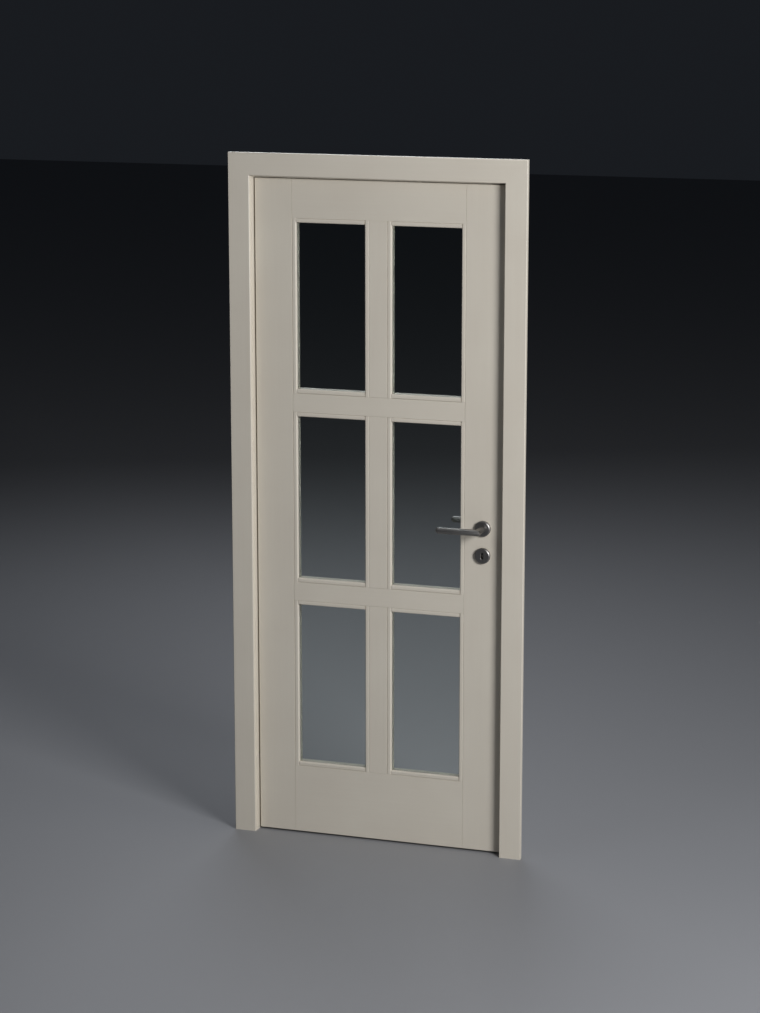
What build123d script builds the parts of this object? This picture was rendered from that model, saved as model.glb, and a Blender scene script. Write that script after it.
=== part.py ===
from build123d import *
import os

# Interior door set: a rebated leaf with six panes, hung in a block frame with a casing on one side.
# Millimetres, +Z up. X runs from the hinge side to the lock side and Y runs through the wall.
# The origin is on the outer face of the hinge-side jamb, at floor level and in the plane of the wall.

# Casing: a flat moulding that covers the joint between frame and wall
casing_face = 69.0
casing_thickness = 16.0
casing_arris = 2.5
casing_step = 2.0
head_casing_face = 70.5
head_casing_step = 3.0

# Frame: jambs and head with a rebate for the lip of the leaf
jamb_thickness = 40.0
jamb_depth = 50.0
jamb_back_edge = 22.0
jamb_arris = 0.5
clear_width = 808.0
clear_height = 2099.0
seal_size = 4.0
seal_inset = 5.0

# Leaf
running_gap = 5.0
closing_gap = 5.8
floor_gap = 7.0
leaf_setback = 14.0
leaf_thickness = 36.0
lip_thickness = 14.0
lip_overlap = 18.0
stile_width = 120.0
top_rail_height = 120.0
bottom_rail_height = 219.0
cross_rail_height = 59.5
mullion_width = 59.0
timber_arris = 0.6
joint_groove_width = 0.8
joint_groove_depth = 1.0
pane_rows = 3
pane_columns = 2

# Glazing
glass_thickness = 4.0
glass_edge_gap = 2.0
glass_depth = 11.0
bead_width = 13.5
bead_inner_round = 4.0
bead_outer_round = 3.0
bead_joint = 0.3

# Lock and lever furniture
spindle_height = 1043.0
key_drop = 85.0
spindle_size = 8.0
spindle_stand_out = 20.0
spindle_hole = 20.0
rose_diameter = 49.0
rose_thickness = 10.5
rose_bevel_run = 3.0
rose_bevel_depth = 2.2
lever_reach = 67.0
lever_length = 131.5
bar_diameter = 20.0
shaft_clearance = 0.05
neck_end_gap = 1.0
keyhole_width = 8.0
keyhole_height = 20.0
keyhole_arris = 1.0
lock_depth = 9.0
case_thickness = 12.0
case_height = 165.0
case_width = 84.0
forend_width = 16.0
forend_length = 235.0
forend_thickness = 3.0
latch_height = 24.0
dead_bolt_height = 34.0
bolt_thickness = 8.0
bolt_length = 40.0
strike_margin = 1.5
strike_pocket = 12.0
strike_thickness = 2.0
strike_end = 45.0

# Hinges
hinge_heights = (300.0, 1100.0, 1900.0)
barrel_diameter = 14.0
barrel_length = 40.0
barrel_gap = 0.5
barrel_stand_off = 0.3
hinge_pin_diameter = 7.0
hinge_pin_length = 34.0
plate_thickness = 2.5
frame_plate_width = 19.0
leaf_plate_width = 24.0
hinge_web = 2.0

# Fixing screws through the side jambs
fixing_hole = 6.5
fixing_depth = 22.0
fixing_heights = (250.0, 700.0, 1400.0, 1850.0)

# How far a cutting shape runs past the faces that it opens, and a joining shape into its neighbour
overrun = 1.0

# Places worked out from the sizes above
frame_width = clear_width + 2 * jamb_thickness
frame_height = clear_height + jamb_thickness
inner_left = jamb_thickness
inner_right = jamb_thickness + clear_width
leaf_left = inner_left + running_gap
leaf_right = inner_right - closing_gap
leaf_top = clear_height - running_gap
leaf_front = leaf_setback
leaf_back = leaf_setback + leaf_thickness
lip_front = leaf_back - lip_thickness
lip_left = leaf_left - lip_overlap
lip_right = leaf_right + lip_overlap
lip_top = leaf_top + lip_overlap
rebate_front = lip_front - running_gap
panes_left = leaf_left + stile_width
panes_right = leaf_right - stile_width
panes_bottom = floor_gap + bottom_rail_height
panes_top = leaf_top - top_rail_height
pane_width = (panes_right - panes_left - mullion_width * (pane_columns - 1)) / pane_columns
pane_height = (panes_top - panes_bottom - cross_rail_height * (pane_rows - 1)) / pane_rows
glass_front = leaf_front + glass_depth
glass_back = glass_front + glass_thickness
spindle_x = leaf_right - stile_width / 2
key_height = spindle_height - key_drop
lock_y = leaf_front + lock_depth
hinge_x = (jamb_back_edge + lip_left) / 2
hinge_y = leaf_back + barrel_diameter / 2 + barrel_stand_off
row_names = ("bottom", "middle", "top")
column_names = ("left", "right")
standing = (Align.CENTER, Align.CENTER, Align.MIN)

os.makedirs("parts", exist_ok=True)


def block(x0, x1, y0, y1, z0, z1):
    """A box between two corners."""
    return Pos((x0 + x1) / 2, (y0 + y1) / 2, (z0 + z1) / 2) * Box(x1 - x0, y1 - y0, z1 - z0)


def rod(radius, length, x, y, z):
    """A round bar along Y that starts at the given point."""
    return Pos(x, y, z) * (Rot(-90, 0, 0) * Cylinder(radius, length, align=standing))


def post(radius, length, x, y, z):
    """An upright round bar that starts at the given point."""
    return Pos(x, y, z) * Cylinder(radius, length, align=standing)


def save(shape, name):
    export_step(shape, f"parts/{name}.step")


def pane_corner(row, column):
    """The lower left corner of a pane's opening in the timber; rows count from the bottom."""
    x = panes_left + column * (pane_width + mullion_width)
    z = panes_bottom + row * (pane_height + cross_rail_height)
    return x, z


def prism(outline, y0, y1):
    """An outline of (x, z) points, drawn in the door's plane and carried from y0 to y1."""
    face = make_face(Polyline([(x, y0, z) for x, z in outline], close=True))
    return extrude(face, amount=y1 - y0, dir=(0, 1, 0))


# The casing is mitred at its two top corners, and its front arrises are rounded.
def casing_piece(name, x0, x1, z0, z1, outline, along):
    bar = block(x0, x1, -casing_thickness, 0, z0, z1)
    front_edges = bar.edges().filter_by(along).group_by(Axis.Y)[0]
    bar = fillet(front_edges, casing_arris)
    save(bar & prism(outline, -casing_thickness - overrun, overrun), name)


def casings():
    inner_l = inner_left - casing_step
    inner_r = inner_right + casing_step
    inner_top = clear_height + head_casing_step
    outer_l = inner_l - casing_face
    outer_r = inner_r + casing_face
    outer_top = inner_top + head_casing_face
    left = [(outer_l, 0), (inner_l, 0), (inner_l, inner_top), (outer_l, outer_top)]
    right = [(outer_r, 0), (inner_r, 0), (inner_r, inner_top), (outer_r, outer_top)]
    head = [(outer_l, outer_top), (inner_l, inner_top), (inner_r, inner_top), (outer_r, outer_top)]
    casing_piece("casing_hinge_side", outer_l, inner_l, 0, outer_top, left, Axis.Z)
    casing_piece("casing_lock_side", inner_r, outer_r, 0, outer_top, right, Axis.Z)
    casing_piece("casing_head", outer_l, outer_r, inner_top, outer_top, head, Axis.X)


def front_edges(shape, along, x=None, z=None):
    """The edges in the plane of the wall that run along an axis, at one x or one z."""
    found = shape.edges().filter_by(along).filter_by(lambda e: abs(e.center().Y) < 0.01)
    if x is not None:
        return found.filter_by(lambda e: abs(e.center().X - x) < 0.01)
    return found.filter_by(lambda e: abs(e.center().Z - z) < 0.01)


# Each jamb is one piece of timber: full thickness in front, thinner behind where the lip lies.
def side_jamb(outer, inner, back_edge):
    full = block(min(outer, inner), max(outer, inner), 0, rebate_front, 0, frame_height)
    full = fillet(front_edges(full, Axis.Z, x=inner), jamb_arris)
    thin = block(min(outer, back_edge), max(outer, back_edge), rebate_front, jamb_depth, 0, frame_height)
    jamb = full + thin - seal()
    drill = Rot(0, 90, 0) * Cylinder(fixing_hole / 2, 3 * jamb_thickness)
    for z in fixing_heights:
        jamb -= Pos((outer + inner) / 2, fixing_depth, z) * drill
    return jamb


def jamb_lock_side():
    jamb = side_jamb(frame_width, inner_right, frame_width - jamb_back_edge)
    return jamb - strike_outline() - strike_pockets()


def head_jamb():
    top = frame_height
    full = block(inner_left, inner_right, 0, rebate_front, clear_height, top)
    full = fillet(front_edges(full, Axis.X, z=clear_height), jamb_arris)
    rear_left, rear_right = jamb_back_edge, frame_width - jamb_back_edge
    thin = block(rear_left, rear_right, rebate_front, jamb_depth, top - jamb_back_edge, top)
    return full + thin - seal()


def seal():
    """A soft strip in a groove of the rebate, up both sides and along the top."""
    left = inner_left - seal_inset - seal_size
    right = inner_right + seal_inset + seal_size
    top = clear_height + seal_inset + seal_size
    strip = block(left, right, rebate_front - seal_size, rebate_front, 0, top)
    return strip - block(left + seal_size, right - seal_size, 0, jamb_depth, -overrun, top - seal_size)


# The strike plate lies flush in the lock-side jamb, with one hole for the latch and one for the bolt.
def strike_outline():
    return block(inner_right, inner_right + strike_thickness, lock_y - forend_width / 2,
                 lock_y + forend_width / 2, key_height - strike_end, spindle_height + strike_end)


def strike_pockets():
    x0, x1 = inner_right - overrun, inner_right + strike_pocket
    half = bolt_thickness / 2 + strike_margin
    shape = block(x0, x1, lock_y - half, lock_y + half,
                  spindle_height - latch_height / 2 - strike_margin,
                  spindle_height + latch_height / 2 + strike_margin)
    shape += block(x0, x1, lock_y - half, lock_y + half,
                   key_height - dead_bolt_height / 2 - strike_margin,
                   key_height + dead_bolt_height / 2 + strike_margin)
    return shape


def strike_plate():
    return strike_outline() - strike_pockets()


# Each joint of the leaf shows on both faces as a fine groove with eased edges. The grooves run up
# both stiles and along every rail, also where a bead lies against the timber.
def joint_grooves():
    half = joint_groove_width / 2
    cuts = []
    for y in (leaf_front, leaf_back):
        y0, y1 = y - joint_groove_depth, y + joint_groove_depth
        for x in (panes_left, panes_right):
            cuts.append(block(x - half, x + half, y0, y1, 0, frame_height))
        for row in range(pane_rows):
            z = pane_corner(row, 0)[1]
            for edge in (z, z + pane_height):
                cuts.append(block(panes_left, panes_right, y0, y1, edge - half, edge + half))
    return cuts


def eased(timber):
    faces = timber.faces().filter_by(Axis.Y).sort_by(Axis.Y)
    return chamfer(faces[0].edges() + faces[-1].edges(), timber_arris) - joint_grooves()


# Stiles and top rail carry a lip at the back that laps over the frame.
def stile_hinge_side():
    body = block(leaf_left, panes_left, leaf_front, lip_front, floor_gap, leaf_top)
    lip = block(lip_left, panes_left, lip_front, leaf_back, floor_gap, lip_top)
    return eased(body + lip)


def stile_lock_side():
    body = block(panes_right, leaf_right, leaf_front, lip_front, floor_gap, leaf_top)
    lip = block(panes_right, lip_right, lip_front, leaf_back, floor_gap, lip_top)
    return eased(body + lip) - lock_shape() - spindle_bore() - keyhole(leaf_front, leaf_back)


def top_rail():
    body = block(panes_left, panes_right, leaf_front, lip_front, panes_top, leaf_top)
    lip = block(panes_left, panes_right, lip_front, leaf_back, panes_top, lip_top)
    return eased(body + lip)


def rails_and_mullions():
    rail = block(panes_left, panes_right, leaf_front, leaf_back, floor_gap, panes_bottom)
    save(eased(rail), "bottom_rail")
    for row, name in ((0, "lower_cross_rail"), (1, "upper_cross_rail")):
        z = pane_corner(row, 0)[1] + pane_height
        rail = block(panes_left, panes_right, leaf_front, leaf_back, z, z + cross_rail_height)
        save(eased(rail), name)
    for row in range(pane_rows):
        x, z = pane_corner(row, 0)
        x += pane_width
        mullion = block(x, x + mullion_width, leaf_front, leaf_back, z, z + pane_height)
        save(eased(mullion), f"mullion_{row_names[row]}")


# Each pane is held between two rings of glazing bead. The upright bars run the full height of the
# opening and the level bars are fitted between them. Both long edges of a bar's face are rounded,
# a little against the timber and more towards the glass.
def bead(x0, x1, y_face, y_glass, z0, z1, along, across, glass_last):
    bar = block(x0, x1, min(y_face, y_glass), max(y_face, y_glass), z0, z1)
    for radius, last in ((bead_outer_round, not glass_last), (bead_inner_round, glass_last)):
        edges = bar.edges().filter_by(along).filter_by(lambda e: abs(e.center().Y - y_face) < 0.01)
        bar = fillet(edges.sort_by(across)[-1 if last else 0], radius)
    return bar


def bead_ring(row, column, y_face, y_glass):
    x0, z0 = pane_corner(row, column)
    x1, z1 = x0 + pane_width, z0 + pane_height
    left, right = x0 + bead_width, x1 - bead_width
    level_left, level_right = left + bead_joint, right - bead_joint
    return [
        bead(x0, left, y_face, y_glass, z0, z1, Axis.Z, Axis.X, True),
        bead(right, x1, y_face, y_glass, z0, z1, Axis.Z, Axis.X, False),
        bead(level_left, level_right, y_face, y_glass, z0, z0 + bead_width, Axis.X, Axis.Z, True),
        bead(level_left, level_right, y_face, y_glass, z1 - bead_width, z1, Axis.X, Axis.Z, False),
    ]


def glazing():
    for row in range(pane_rows):
        for column in range(pane_columns):
            x, z = pane_corner(row, column)
            sheet = block(x + glass_edge_gap, x + pane_width - glass_edge_gap, glass_front, glass_back,
                          z + glass_edge_gap, z + pane_height - glass_edge_gap)
            save(sheet, f"glass_{row_names[row]}_{column_names[column]}")
        for side, y_face, y_glass in (("front", leaf_front, glass_front), ("back", leaf_back, glass_back)):
            bars = []
            for column in range(pane_columns):
                bars += bead_ring(row, column, y_face, y_glass)
            save(Compound(children=bars), f"{side}_beads_{row_names[row]}")


# The lock fills a mortise in the edge of the lock-side stile.
def lock_shape():
    middle = (spindle_height + key_height) / 2
    forend = block(leaf_right - forend_thickness, leaf_right, lock_y - forend_width / 2,
                   lock_y + forend_width / 2, middle - forend_length / 2, middle + forend_length / 2)
    case = block(leaf_right - forend_thickness - case_width, leaf_right - forend_thickness,
                 lock_y - case_thickness / 2, lock_y + case_thickness / 2,
                 middle - case_height / 2, middle + case_height / 2)
    return forend + case


def bolts():
    shapes = []
    for z, height in ((spindle_height, latch_height), (key_height, dead_bolt_height)):
        shapes.append(block(leaf_right - bolt_length, leaf_right, lock_y - bolt_thickness / 2,
                            lock_y + bolt_thickness / 2, z - height / 2, z + height / 2))
    return shapes


def spindle_bore():
    length = leaf_thickness + 2 * overrun
    return rod(spindle_hole / 2, length, spindle_x, leaf_front - overrun, spindle_height)


def keyhole(y0, y1):
    slot = Rot(0, 0, 90) * SlotOverall(keyhole_height, keyhole_width)
    seat = Plane(origin=(spindle_x, y0 - overrun, key_height), x_dir=(1, 0, 0), z_dir=(0, -1, 0))
    return extrude(seat * slot, amount=-(y1 - y0 + 2 * overrun))


def lock():
    shape = lock_shape() - spindle_bore() - keyhole(leaf_front, leaf_back)
    for bolt in bolts():
        shape -= bolt
    return shape


# Round plates with a bevelled rim on both faces: one for the lever, one for the key.
def rose(y_leaf, outward, z):
    flat = rose_thickness - rose_bevel_depth
    radius = rose_diameter / 2
    plate = Cylinder(radius, flat, align=standing)
    plate += Pos(0, 0, flat) * Cone(radius, radius - rose_bevel_run, rose_bevel_depth, align=standing)
    return Pos(spindle_x, y_leaf, z) * (Rot(-90 * outward, 0, 0) * plate)


def lever_rose(y_leaf, outward):
    radius = bar_diameter / 2 + shaft_clearance
    y0 = min(y_leaf, y_leaf + outward * rose_thickness) - overrun
    bore = rod(radius, rose_thickness + 2 * overrun, spindle_x, y0, spindle_height)
    return rose(y_leaf, outward, spindle_height) - bore


def key_rose(y_leaf, outward):
    """The lower plate; the rim of its keyhole is chamfered on the side that shows."""
    y_face = y_leaf + outward * rose_thickness
    plate = rose(y_leaf, outward, key_height) - keyhole(min(y_leaf, y_face), max(y_leaf, y_face))
    face = plate.faces().filter_by(lambda f: abs(f.center().Y - y_face) < 0.01)[0]
    return chamfer(face.inner_wires().edges(), keyhole_arris)


def roses():
    for side, y_leaf, outward in (("front", leaf_front, -1), ("back", leaf_back, 1)):
        save(lever_rose(y_leaf, outward), f"lever_rose_{side}")
        save(key_rose(y_leaf, outward), f"key_rose_{side}")


# The lever is a round bar with a mitred corner, and the free end of its grip is domed.
def lever(y_leaf, outward):
    radius = bar_diameter / 2
    y_grip = y_leaf + outward * lever_reach
    y_neck = y_leaf + outward * neck_end_gap
    x_end = spindle_x - lever_length + radius
    neck = rod(radius, lever_reach - neck_end_gap, spindle_x, min(y_neck, y_grip), spindle_height)
    bar = Rot(0, 90, 0) * Cylinder(radius, spindle_x - x_end)
    grip = Pos((spindle_x + x_end) / 2, y_grip, spindle_height) * bar
    dome = Pos(x_end, y_grip, spindle_height) * (Rot(0, -90, 0) * Sphere(radius))
    # beyond the two axes, the mitred corner is what the neck and the grip would share if carried on
    neck_on = rod(radius, radius, spindle_x, min(y_grip, y_grip + outward * radius), spindle_height)
    stub = Rot(0, 90, 0) * Cylinder(radius, radius)
    grip_on = Pos(spindle_x + radius / 2, y_grip, spindle_height) * stub
    return neck + grip + dome + (neck_on & grip_on) - spindle()


def spindle():
    half = spindle_size / 2
    return block(spindle_x - half, spindle_x + half, leaf_front - spindle_stand_out,
                 leaf_back + spindle_stand_out, spindle_height - half, spindle_height + half)


# A hinge is a lower barrel with a pin on the frame and an upper barrel with a bore on the leaf.
def frame_hinge_half(z):
    radius = barrel_diameter / 2
    z0 = z - barrel_length
    shape = post(radius, barrel_length - barrel_gap / 2, hinge_x, hinge_y, z0)
    z1 = z - barrel_gap / 2
    plate_back = jamb_depth + plate_thickness
    shape += block(hinge_x - frame_plate_width - hinge_web, hinge_x, jamb_depth, plate_back, z0, z1)
    shape += block(hinge_x - hinge_web, hinge_x, plate_back - overrun, hinge_y, z0, z1)
    return shape + post(hinge_pin_diameter / 2, hinge_pin_length, hinge_x, hinge_y, z - barrel_gap)


def leaf_hinge_half(z):
    radius = barrel_diameter / 2
    z0 = z + barrel_gap / 2
    z1 = z + barrel_length
    shape = post(radius, z1 - z0, hinge_x, hinge_y, z0)
    plate_back = leaf_back + plate_thickness
    shape += block(hinge_x + barrel_stand_off, hinge_x + leaf_plate_width, leaf_back, plate_back, z0, z1)
    shape += block(hinge_x, hinge_x + hinge_web, plate_back - overrun, hinge_y, z0, z1)
    bore = post(hinge_pin_diameter / 2 + shaft_clearance, hinge_pin_length + overrun, hinge_x, hinge_y,
                z - barrel_gap)
    return shape - bore


def hinges():
    for name, z in zip(row_names, hinge_heights):
        save(frame_hinge_half(z), f"frame_hinge_{name}")
        save(leaf_hinge_half(z), f"leaf_hinge_{name}")


casings()
save(side_jamb(0, inner_left, jamb_back_edge), "jamb_hinge_side")
save(jamb_lock_side(), "jamb_lock_side")
save(head_jamb(), "head_jamb")
save(seal(), "seal")
save(strike_plate(), "strike_plate")
save(stile_hinge_side(), "stile_hinge_side")
save(stile_lock_side(), "stile_lock_side")
save(top_rail(), "top_rail")
rails_and_mullions()
glazing()
save(lock(), "lock")
save(Compound(children=bolts()), "lock_bolts")
roses()
save(lever(leaf_front, -1), "lever_front")
save(lever(leaf_back, 1), "lever_back")
save(spindle(), "spindle")
hinges()
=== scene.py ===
import math

import bpy
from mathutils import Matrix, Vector


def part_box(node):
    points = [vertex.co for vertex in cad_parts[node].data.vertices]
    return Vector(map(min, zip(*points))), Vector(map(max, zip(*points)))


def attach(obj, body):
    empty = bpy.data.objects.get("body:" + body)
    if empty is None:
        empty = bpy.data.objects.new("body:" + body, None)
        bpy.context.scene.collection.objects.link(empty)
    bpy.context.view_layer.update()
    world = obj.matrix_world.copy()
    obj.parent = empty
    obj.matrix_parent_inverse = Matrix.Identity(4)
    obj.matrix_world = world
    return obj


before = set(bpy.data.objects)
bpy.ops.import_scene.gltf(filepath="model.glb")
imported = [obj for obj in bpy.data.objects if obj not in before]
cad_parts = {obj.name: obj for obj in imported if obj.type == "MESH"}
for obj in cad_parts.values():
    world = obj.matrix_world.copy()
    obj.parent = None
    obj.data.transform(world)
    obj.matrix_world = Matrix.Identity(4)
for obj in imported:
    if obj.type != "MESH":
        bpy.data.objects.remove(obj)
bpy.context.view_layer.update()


# Frame: two jambs and a head of finger-jointed pine, rebated in one pass on the moulder.
# The set is sprayed in the workshop with two coats of satin paint, and only then put up.
# Screws go through the jambs into the wall, in the holes that the shut leaf hides.
def linear(code):
    """A hex colour as linear red, green, blue and a full alpha."""
    parts = [int(code[i:i + 2], 16) / 255 for i in (1, 3, 5)]
    return (*(c / 12.92 if c < 0.04045 else ((c + 0.055) / 1.055) ** 2.4 for c in parts), 1.0)


def node(tree, kind, settings=None, inputs=None):
    """Adds one shader node; an input is a value, or a socket to link from."""
    made = tree.nodes.new(kind)
    for name, value in (settings or {}).items():
        setattr(made, name, value)
    for name, value in (inputs or {}).items():
        if isinstance(value, bpy.types.NodeSocket):
            tree.links.new(value, made.inputs[name])
        else:
            made.inputs[name].default_value = value
    return made


def empty_material(name):
    """A material with no nodes yet but the place coordinates, in metres."""
    material = bpy.data.materials.new(name)
    material.use_nodes = True
    tree = material.node_tree
    tree.nodes.clear()
    place = node(tree, "ShaderNodeTexCoord").outputs["Object"]
    return material, tree, place


def finish_material(tree, shader):
    """Links the shader to the material's output."""
    node(tree, "ShaderNodeOutputMaterial", inputs={"Surface": shader.outputs[0]})


def satin_paint(name, along):
    """Sprayed satin paint: a soft even sheen, faint orange peel, and tone that drifts a little."""
    material, tree, place = empty_material(name)
    # tone and sheen drift over about 220 mm, the width of a pass of the spray gun
    spray_pass = 0.22
    drift = node(tree, "ShaderNodeTexNoise",
                 inputs={"Vector": place, "Scale": 1 / spray_pass, "Detail": 3.0})
    # the pine under the paint shows as faint streaks about 6 mm apart, drawn out along the piece
    streak_spacing, streak_depth = 0.006, 0.00004
    long_way = node(tree, "ShaderNodeMapping", inputs={"Vector": place, "Scale": along})
    grain = node(tree, "ShaderNodeTexNoise",
                 inputs={"Vector": long_way.outputs[0], "Scale": 1 / streak_spacing,
                         "Detail": 2.0, "Roughness": 0.4})
    both = node(tree, "ShaderNodeMix", {"data_type": "FLOAT"}, {"Factor": 0.25})
    tree.links.new(drift.outputs["Fac"], both.inputs[2])
    tree.links.new(grain.outputs["Fac"], both.inputs[3])
    tone = node(tree, "ShaderNodeValToRGB", inputs={"Fac": both.outputs[0]})
    dark, light = tone.color_ramp.elements
    dark.position, dark.color = 0.3, linear("#D9D1C2")
    light.position, light.color = 0.7, linear("#DED7C8")
    # orange peel cells are about 1.5 mm across; at a third of its strength the bump is 0.01 mm deep
    peel_cell, peel_depth = 0.0015, 0.00003
    peel = node(tree, "ShaderNodeTexNoise",
                inputs={"Vector": place, "Scale": 1 / peel_cell, "Detail": 1.0})
    peel_bump = node(tree, "ShaderNodeBump",
                     inputs={"Height": peel.outputs["Fac"], "Strength": 0.35,
                             "Distance": peel_depth})
    grain_bump = node(tree, "ShaderNodeBump",
                      inputs={"Height": grain.outputs["Fac"], "Strength": 0.5,
                              "Distance": streak_depth, "Normal": peel_bump.outputs[0]})
    sheen = node(tree, "ShaderNodeMapRange",
                 inputs={"Value": drift.outputs["Fac"], "To Min": 0.36, "To Max": 0.46})
    shader = node(tree, "ShaderNodeBsdfPrincipled",
                  inputs={"Base Color": tone.outputs[0], "Roughness": sheen.outputs[0],
                          "Normal": grain_bump.outputs[0], "IOR": 1.5})
    finish_material(tree, shader)
    return material


def dress(names, material, softened=0.0):
    """Gives CAD nodes their finish, and rounds their sharp edges as sanding does."""
    for name in names:
        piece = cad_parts[name]
        piece.data.materials.clear()
        piece.data.materials.append(material)
        if softened:
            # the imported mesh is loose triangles, so their corners are joined first
            merge = piece.modifiers.new("merge", "WELD")
            merge.merge_threshold = 0.00001
            edge = piece.modifiers.new("softened edges", "BEVEL")
            edge.width, edge.segments, edge.limit_method = softened, 2, "ANGLE"
            edge.angle_limit = math.radians(40)
            edge.harden_normals = True


# streaks are drawn out about thirty times, along Z on upright pieces and along X on level ones
paint = satin_paint("satin_paint_on_upright_pine", (1.0, 1.0, 0.03))
level_paint = satin_paint("satin_paint_on_level_pine", (0.03, 1.0, 1.0))
dress(["jamb_hinge_side", "jamb_lock_side"], paint)
dress(["head_jamb"], level_paint)


# Casing: flat mouldings of primed board, about 70 by 16 mm, mitred at the two top corners.
# It is pinned and glued over the joint between frame and wall, on this side only.
sanded_edge = 0.0003
dress(["casing_hinge_side", "casing_lock_side"], paint, softened=sanded_edge)
dress(["casing_head"], level_paint, softened=sanded_edge)


# Seal: an extruded soft strip pressed into a groove of the rebate, so the leaf shuts quietly.
# It is matt, a warm grey, and darker than the paint.
def soft_seal():
    """Extruded elastomer: matt, with a slight bloom in patches about 20 mm across."""
    material, tree, place = empty_material("extruded_soft_seal")
    patch = 0.02
    bloom = node(tree, "ShaderNodeTexNoise",
                 inputs={"Vector": place, "Scale": 1 / patch, "Detail": 4.0})
    tone = node(tree, "ShaderNodeValToRGB", inputs={"Fac": bloom.outputs["Fac"]})
    tone.color_ramp.elements[0].color = linear("#7F7A6F")
    tone.color_ramp.elements[1].color = linear("#8C877B")
    shader = node(tree, "ShaderNodeBsdfPrincipled",
                  inputs={"Base Color": tone.outputs[0], "Roughness": 0.75})
    finish_material(tree, shader)
    return material


dress(["seal"], soft_seal())


# Leaf: two stiles, four rails and three mullions of laminated pine, dowelled and glued.
# The long edges are eased with sandpaper before spraying, so each joint shows as a hairline.
dress(["stile_hinge_side", "stile_lock_side", "mullion_top", "mullion_middle", "mullion_bottom"],
      paint, softened=sanded_edge)
dress(["top_rail", "upper_cross_rail", "lower_cross_rail", "bottom_rail"],
      level_paint, softened=sanded_edge)


# Glazing beads: slim mouldings with a rounded edge towards the glass. The uprights run the full
# height of a pane, and the level ones are cut to fit between them.
# They are pinned into the timber on both faces and sprayed with the leaf.
rows = ("top", "middle", "bottom")
dress([f"{side}_beads_{row}" for side in ("front", "back") for row in rows], paint)


# Panes: 4 mm clear float glass, bedded between the beads.
# Float glass is almost colourless face on, and green in its thickness.
def float_glass():
    """Clear float glass: sharp reflections, a very slight green cast, and dust in patches."""
    material, tree, place = empty_material("clear_float_glass")
    patch = 0.09
    dust = node(tree, "ShaderNodeTexNoise",
                inputs={"Vector": place, "Scale": 1 / patch, "Detail": 5.0})
    rough = node(tree, "ShaderNodeMapRange",
                 inputs={"Value": dust.outputs["Fac"], "To Min": 0.0, "To Max": 0.015})
    shader = node(tree, "ShaderNodeBsdfPrincipled",
                  inputs={"Base Color": linear("#F4FAF7"), "Roughness": rough.outputs[0],
                          "IOR": 1.52, "Transmission Weight": 1.0})
    finish_material(tree, shader)
    return material


dress([f"glass_{row}_{side}" for row in rows for side in ("left", "right")], float_glass())


# Hinges: steel butt hinges for a lipped leaf. The frame's half has the lower barrel and the pin,
# and the leaf's half drops onto it with its bore.
# The plates are screwed to the back of the jamb and to the lip.
def satin_steel():
    """Brushed mild steel with clear zinc: a soft grey sheen with fine scratches one way."""
    material, tree, place = empty_material("satin_zinc_steel")
    # brush marks are too fine to show at their own size, so they are drawn half a millimetre apart
    mark_spacing = 0.0005
    brushed = node(tree, "ShaderNodeMapping", inputs={"Vector": place, "Scale": (1.0, 1.0, 0.05)})
    marks = node(tree, "ShaderNodeTexNoise",
                 inputs={"Vector": brushed.outputs[0], "Scale": 1 / mark_spacing, "Detail": 3.0})
    tone = node(tree, "ShaderNodeValToRGB", inputs={"Fac": marks.outputs["Fac"]})
    tone.color_ramp.elements[0].color = linear("#A3A29E")
    tone.color_ramp.elements[1].color = linear("#C2C1BC")
    rough = node(tree, "ShaderNodeMapRange",
                 inputs={"Value": marks.outputs["Fac"], "To Min": 0.28, "To Max": 0.4})
    shader = node(tree, "ShaderNodeBsdfPrincipled",
                  inputs={"Base Color": tone.outputs[0], "Roughness": rough.outputs[0],
                          "Metallic": 1.0})
    finish_material(tree, shader)
    return material


steel = satin_steel()
tumbled_edge = 0.0004
dress([f"{half}_hinge_{row}" for half in ("frame", "leaf") for row in rows],
      steel, softened=tumbled_edge)


# Lock: a steel case in the edge of the leaf, with its forend, latch and bolt, all drawn back
# flush. A square spindle runs through it from lever to lever.
# The strike plate is let into the jamb opposite.
dress(["lock", "lock_bolts", "strike_plate", "spindle"], steel)


# Levers and plates: round steel bar with a mitred corner, and turned plates, in satin plating.
# Each lever turns in its round plate; the lower plates guard the keyhole.
def satin_plating():
    """Satin nickel plating on steel: mid grey, and it mirrors softly what is around it."""
    material, tree, place = empty_material("satin_nickel_plating")
    # wear from hands, in patches about 4 mm across
    patch = 0.004
    wear = node(tree, "ShaderNodeTexNoise",
                inputs={"Vector": place, "Scale": 1 / patch, "Detail": 4.0})
    tone = node(tree, "ShaderNodeValToRGB", inputs={"Fac": wear.outputs["Fac"]})
    tone.color_ramp.elements[0].color = linear("#868482")
    tone.color_ramp.elements[1].color = linear("#94928F")
    rough = node(tree, "ShaderNodeMapRange",
                 inputs={"Value": wear.outputs["Fac"], "To Min": 0.38, "To Max": 0.48})
    shader = node(tree, "ShaderNodeBsdfPrincipled",
                  inputs={"Base Color": tone.outputs[0], "Roughness": rough.outputs[0],
                          "Metallic": 1.0})
    finish_material(tree, shader)
    return material


plating = satin_plating()
polished_edge = 0.0003
for side in ("front", "back"):
    dress([f"lever_{side}", f"lever_rose_{side}", f"key_rose_{side}"],
          plating, softened=polished_edge)


# Plate screws: raised countersunk steel screws with a cross recess, 8 mm across the head.
# Their rims lie nearly flush in the hinge plates, the forend and the strike plate, and only
# the crown stands up.
def alone(piece):
    """Leaves one object selected and active."""
    bpy.ops.object.select_all(action="DESELECT")
    piece.select_set(True)
    bpy.context.view_layer.objects.active = piece


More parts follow.
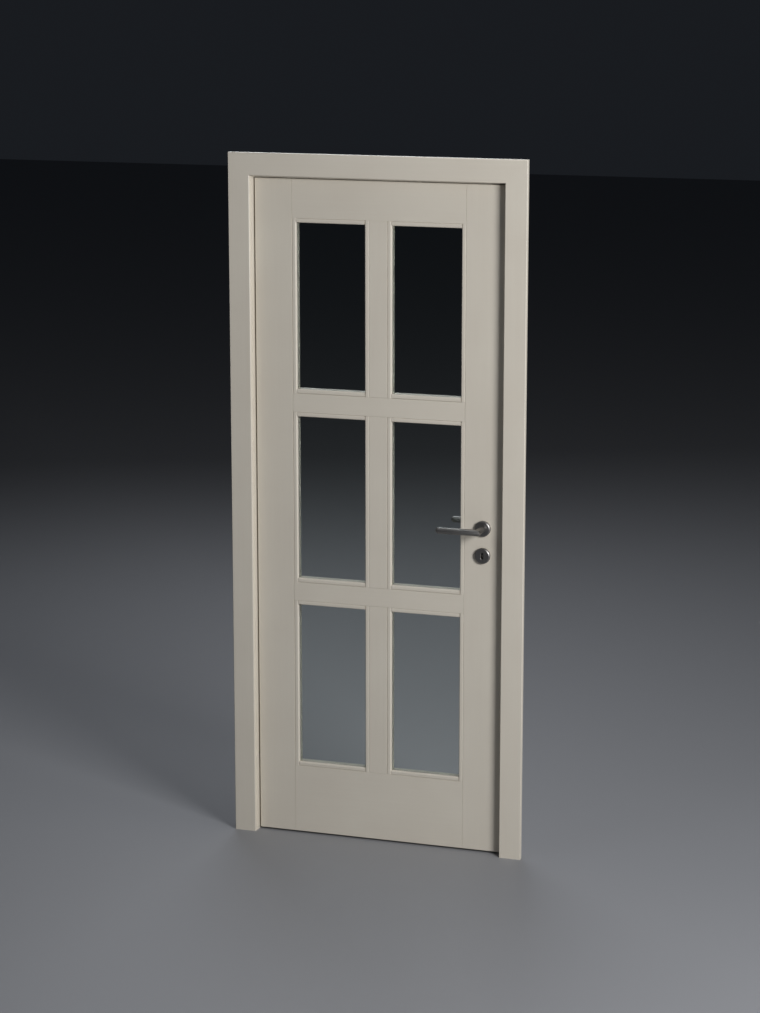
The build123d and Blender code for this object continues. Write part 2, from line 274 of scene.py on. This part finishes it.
def pick_faces(piece, wanted):
    """Goes into edit mode with the faces picked whose centre and normal are wanted."""
    bpy.ops.object.mode_set(mode="EDIT")
    bpy.context.tool_settings.mesh_select_mode = (False, False, True)
    bpy.ops.mesh.select_all(action="DESELECT")
    bpy.ops.object.mode_set(mode="OBJECT")
    for face in piece.data.polygons:
        face.select = wanted(face.center, face.normal)
    bpy.ops.object.mode_set(mode="EDIT")


def sink(piece, cutter):
    """Cuts the cutter's shape out of the piece and takes the cutter away."""
    alone(piece)
    bpy.ops.object.modifier_add(type="BOOLEAN")
    cut = piece.modifiers[-1]
    cut.object, cut.operation, cut.solver, cut.use_self = cutter, "DIFFERENCE", "EXACT", True
    bpy.ops.object.modifier_apply(modifier=cut.name)
    alone(cutter)
    bpy.ops.object.delete()
    alone(piece)


def screw_head():
    """A crowned head that looks along +Z, with the plate's face at height 0."""
    head_radius, rim = 0.004, 0.0006
    bpy.ops.object.select_all(action="DESELECT")
    bpy.ops.mesh.primitive_cylinder_add(vertices=32, radius=head_radius, depth=rim,
                                        location=(0, 0, -0.0001))
    head = bpy.context.object
    pick_faces(head, lambda centre, normal: normal.z > 0.9)
    # the crown: each ring is set in by more and rises by less than the one before
    for step_in, rise in ((0.0007, 0.00045), (0.0009, 0.0003), (0.001, 0.00015)):
        bpy.ops.mesh.inset(thickness=step_in, depth=rise)
    bpy.ops.object.mode_set(mode="OBJECT")
    # the cross recess: two crossed wedges that reach down to just under the plate's face
    recess_length, recess_width, cutter_height, cutter_middle = 0.0045, 0.0009, 0.0018, 0.0008
    bpy.ops.object.select_all(action="DESELECT")
    bpy.ops.mesh.primitive_cube_add(size=1, location=(0, 0, cutter_middle))
    cross = bpy.context.object
    bpy.ops.object.mode_set(mode="EDIT")
    bpy.ops.mesh.select_all(action="SELECT")
    bpy.ops.transform.resize(value=(recess_length, recess_width, cutter_height),
                             center_override=(0, 0, cutter_middle))
    pick_faces(cross, lambda centre, normal: normal.z < -0.9)
    bpy.ops.transform.resize(value=(0.45, 0.6, 1.0), center_override=(0, 0, 0))
    bpy.ops.mesh.select_all(action="SELECT")
    bpy.ops.mesh.duplicate()
    bpy.ops.transform.rotate(value=math.pi / 2, orient_axis="Z", center_override=(0, 0, 0))
    bpy.ops.object.mode_set(mode="OBJECT")
    sink(head, cross)
    bpy.ops.object.transform_apply(location=True, rotation=True, scale=True)
    bpy.ops.object.shade_smooth_by_angle(angle=math.radians(35))
    return head


def fit(pattern, name, place, way, body, material):
    """Puts a copy of a small part at a place, turned from +Z to look along the given way."""
    alone(pattern)
    bpy.ops.object.duplicate()
    piece = bpy.context.object
    piece.name = name
    piece.location = place
    piece.rotation_euler = Vector(way).to_track_quat("Z", "Y").to_euler()
    bpy.ops.object.transform_apply(location=True, rotation=True, scale=True)
    piece.data.materials.clear()
    piece.data.materials.append(material)
    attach(piece, body)


head = screw_head()
barrel_width = 0.014
pin_above_joint = 0.0335
hinge_plate_face = 0.0525
near_joint, far_from_joint = 0.010, 0.030
for half in ("frame", "leaf"):
    for row in rows:
        low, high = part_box(f"{half}_hinge_{row}")
        # the screws stand in the middle of what the barrel leaves bare of the plate
        if half == "frame":
            x = (low.x + high.x - barrel_width) / 2
            joint = high.z - pin_above_joint
            heights = (joint - near_joint, joint - far_from_joint)
        else:
            x = (low.x + barrel_width + high.x) / 2
            heights = (low.z + near_joint, low.z + far_from_joint)
        for number, z in enumerate(heights, 1):
            fit(head, f"screw_{half}_hinge_{row}_{number}", (x, hinge_plate_face, z), (0, 1, 0),
                half, steel)

lock_low, lock_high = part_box("lock")
strike_low, strike_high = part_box("strike_plate")
plate_y = (strike_low.y + strike_high.y) / 2
forend_margin, strike_foot, strike_top = 0.010, 0.013, 0.016
for number, z in enumerate((lock_low.z + forend_margin, lock_high.z - forend_margin), 1):
    fit(head, f"screw_forend_{number}", (lock_high.x, plate_y, z), (1, 0, 0),
        "leaf", steel)
for number, z in enumerate((strike_low.z + strike_foot, strike_high.z - strike_top), 1):
    fit(head, f"screw_strike_{number}", (strike_low.x, plate_y, z), (-1, 0, 0),
        "frame", steel)
alone(head)
bpy.ops.object.delete()


# Grub screws: one of blackened steel under the neck of each lever, close to the plate.
# It bears on the spindle and keeps the lever from being pulled off.
def black_oxide():
    """Blackened steel: dark, a little blue, with a thin oily sheen that drifts over it."""
    material, tree, place = empty_material("black_oxide_steel")
    patch = 0.0012
    film = node(tree, "ShaderNodeTexNoise",
                inputs={"Vector": place, "Scale": 1 / patch, "Detail": 3.0})
    tone = node(tree, "ShaderNodeValToRGB", inputs={"Fac": film.outputs["Fac"]})
    tone.color_ramp.elements[0].color = linear("#26272A")
    tone.color_ramp.elements[1].color = linear("#3A3B3F")
    rough = node(tree, "ShaderNodeMapRange",
                 inputs={"Value": film.outputs["Fac"], "To Min": 0.32, "To Max": 0.5})
    shader = node(tree, "ShaderNodeBsdfPrincipled",
                  inputs={"Base Color": tone.outputs[0], "Roughness": rough.outputs[0],
                          "Metallic": 1.0})
    finish_material(tree, shader)
    return material


def grub_screw():
    """A 5 mm screw that looks along +Z, with a six-sided socket and its face at height 0."""
    screw_radius, screw_length, chamfer = 0.0025, 0.003, 0.0003
    bpy.ops.object.select_all(action="DESELECT")
    bpy.ops.mesh.primitive_cylinder_add(vertices=24, radius=screw_radius, depth=screw_length,
                                        location=(0, 0, -screw_length / 2))
    grub = bpy.context.object
    pick_faces(grub, lambda centre, normal: normal.z > 0.9)
    bpy.ops.mesh.bevel(offset=chamfer, segments=2, affect="EDGES")
    bpy.ops.object.mode_set(mode="OBJECT")
    # the socket takes a 2.5 mm key and is 1.8 mm deep
    socket_radius, socket_depth = 0.00144, 0.0018
    bpy.ops.object.select_all(action="DESELECT")
    bpy.ops.mesh.primitive_cylinder_add(vertices=6, radius=socket_radius, depth=2 * socket_depth,
                                        location=(0, 0, 0))
    sink(grub, bpy.context.object)
    bpy.ops.object.transform_apply(location=True, rotation=True, scale=True)
    bpy.ops.object.shade_smooth_by_angle(angle=math.radians(35))
    return grub


grub = grub_screw()
blackened = black_oxide()
front_low, front_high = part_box("lever_rose_front")
back_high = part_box("lever_rose_back")[1]
neck_x, neck_z = (front_low.x + front_high.x) / 2, (front_low.z + front_high.z) / 2
# the neck is 20 mm thick, and the screw's face stands a hair proud of its underside
neck_underside = neck_z - 0.01002
plate_to_screw = 0.010
for side, y in (("front", front_low.y - plate_to_screw), ("back", back_high.y + plate_to_screw)):
    fit(grub, f"grub_screw_{side}", (neck_x, y, neck_underside), (0, 0, -1),
        "levers", blackened)
alone(grub)
bpy.ops.object.delete()


# Floor: a plain pale sheet, smooth and slightly satin. It ends so far behind the door that in
# the camera's view its edge is level with the door's head, and the dark surround begins there.
bpy.ops.object.select_all(action="DESELECT")
bpy.ops.mesh.primitive_plane_add(size=60, location=(0.4, -6.5, 0))
floor = bpy.context.object
floor.name = "floor"
floor_paint, tree, place = empty_material("pale_floor")
shader = node(tree, "ShaderNodeBsdfPrincipled",
              inputs={"Base Color": linear("#919295"), "Roughness": 0.55})
finish_material(tree, shader)
floor.data.materials.append(floor_paint)


# Light: a large soft lamp low on the right and a weak one further round to the side. Weaker
# ones on the left, overhead and behind fill the shadows, light the upper edges and show the
# back. The room around is almost dark.
middle = Vector((0.44, 0.0, 1.1))


def lamp(name, azimuth, elevation, distance, size, power, colour):
    """A square lamp that faces the middle of the door: degrees, metres and watts."""
    light = bpy.data.lights.new(name, "AREA")
    light.size, light.energy, light.color = size, power, linear(colour)[:3]
    a, e = math.radians(azimuth), math.radians(elevation)
    way = Vector((math.sin(a) * math.cos(e), -math.cos(a) * math.cos(e), math.sin(e)))
    place = bpy.data.objects.new(name, light)
    place.location = middle + way * distance
    place.rotation_euler = way.to_track_quat("Z", "Y").to_euler()
    bpy.context.scene.collection.objects.link(place)


lamp("key lamp", 50.5, 18, 5.0, 1.6, 193, "#FDFDFF")
lamp("side lamp", 84, 12, 4.0, 1.6, 17, "#FDFDFF")
lamp("fill lamp", -40, 36, 7.0, 3.0, 24, "#F4F8FF")
lamp("top lamp", 180, 84, 2.3, 1.2, 12, "#F4F8FF")
lamp("back lamp", 205, 38, 4.4, 2.2, 48, "#F4F8FF")
world = bpy.data.worlds.new("surround")
bpy.context.scene.world = world
world.use_nodes = True
surround = world.node_tree.nodes["Background"]
surround.inputs["Color"].default_value = linear("#8891A0")
surround.inputs["Strength"].default_value = 0.04
bpy.context.scene.view_settings.view_transform = "Standard"


# Camera: the photograph's own standpoint, to the right of the door and higher than its top,
# turned down so that the door stands whole in the picture.
camera_data = bpy.data.cameras.new("camera")
camera_data.lens, camera_data.sensor_width = 95.21, 36.0
camera = bpy.data.objects.new("camera", camera_data)
camera.location = (2.986, -7.694, 2.827)
camera.rotation_euler = (math.radians(77.917), 0.0, math.radians(18.213))
bpy.context.scene.collection.objects.link(camera)
bpy.context.scene.camera = camera
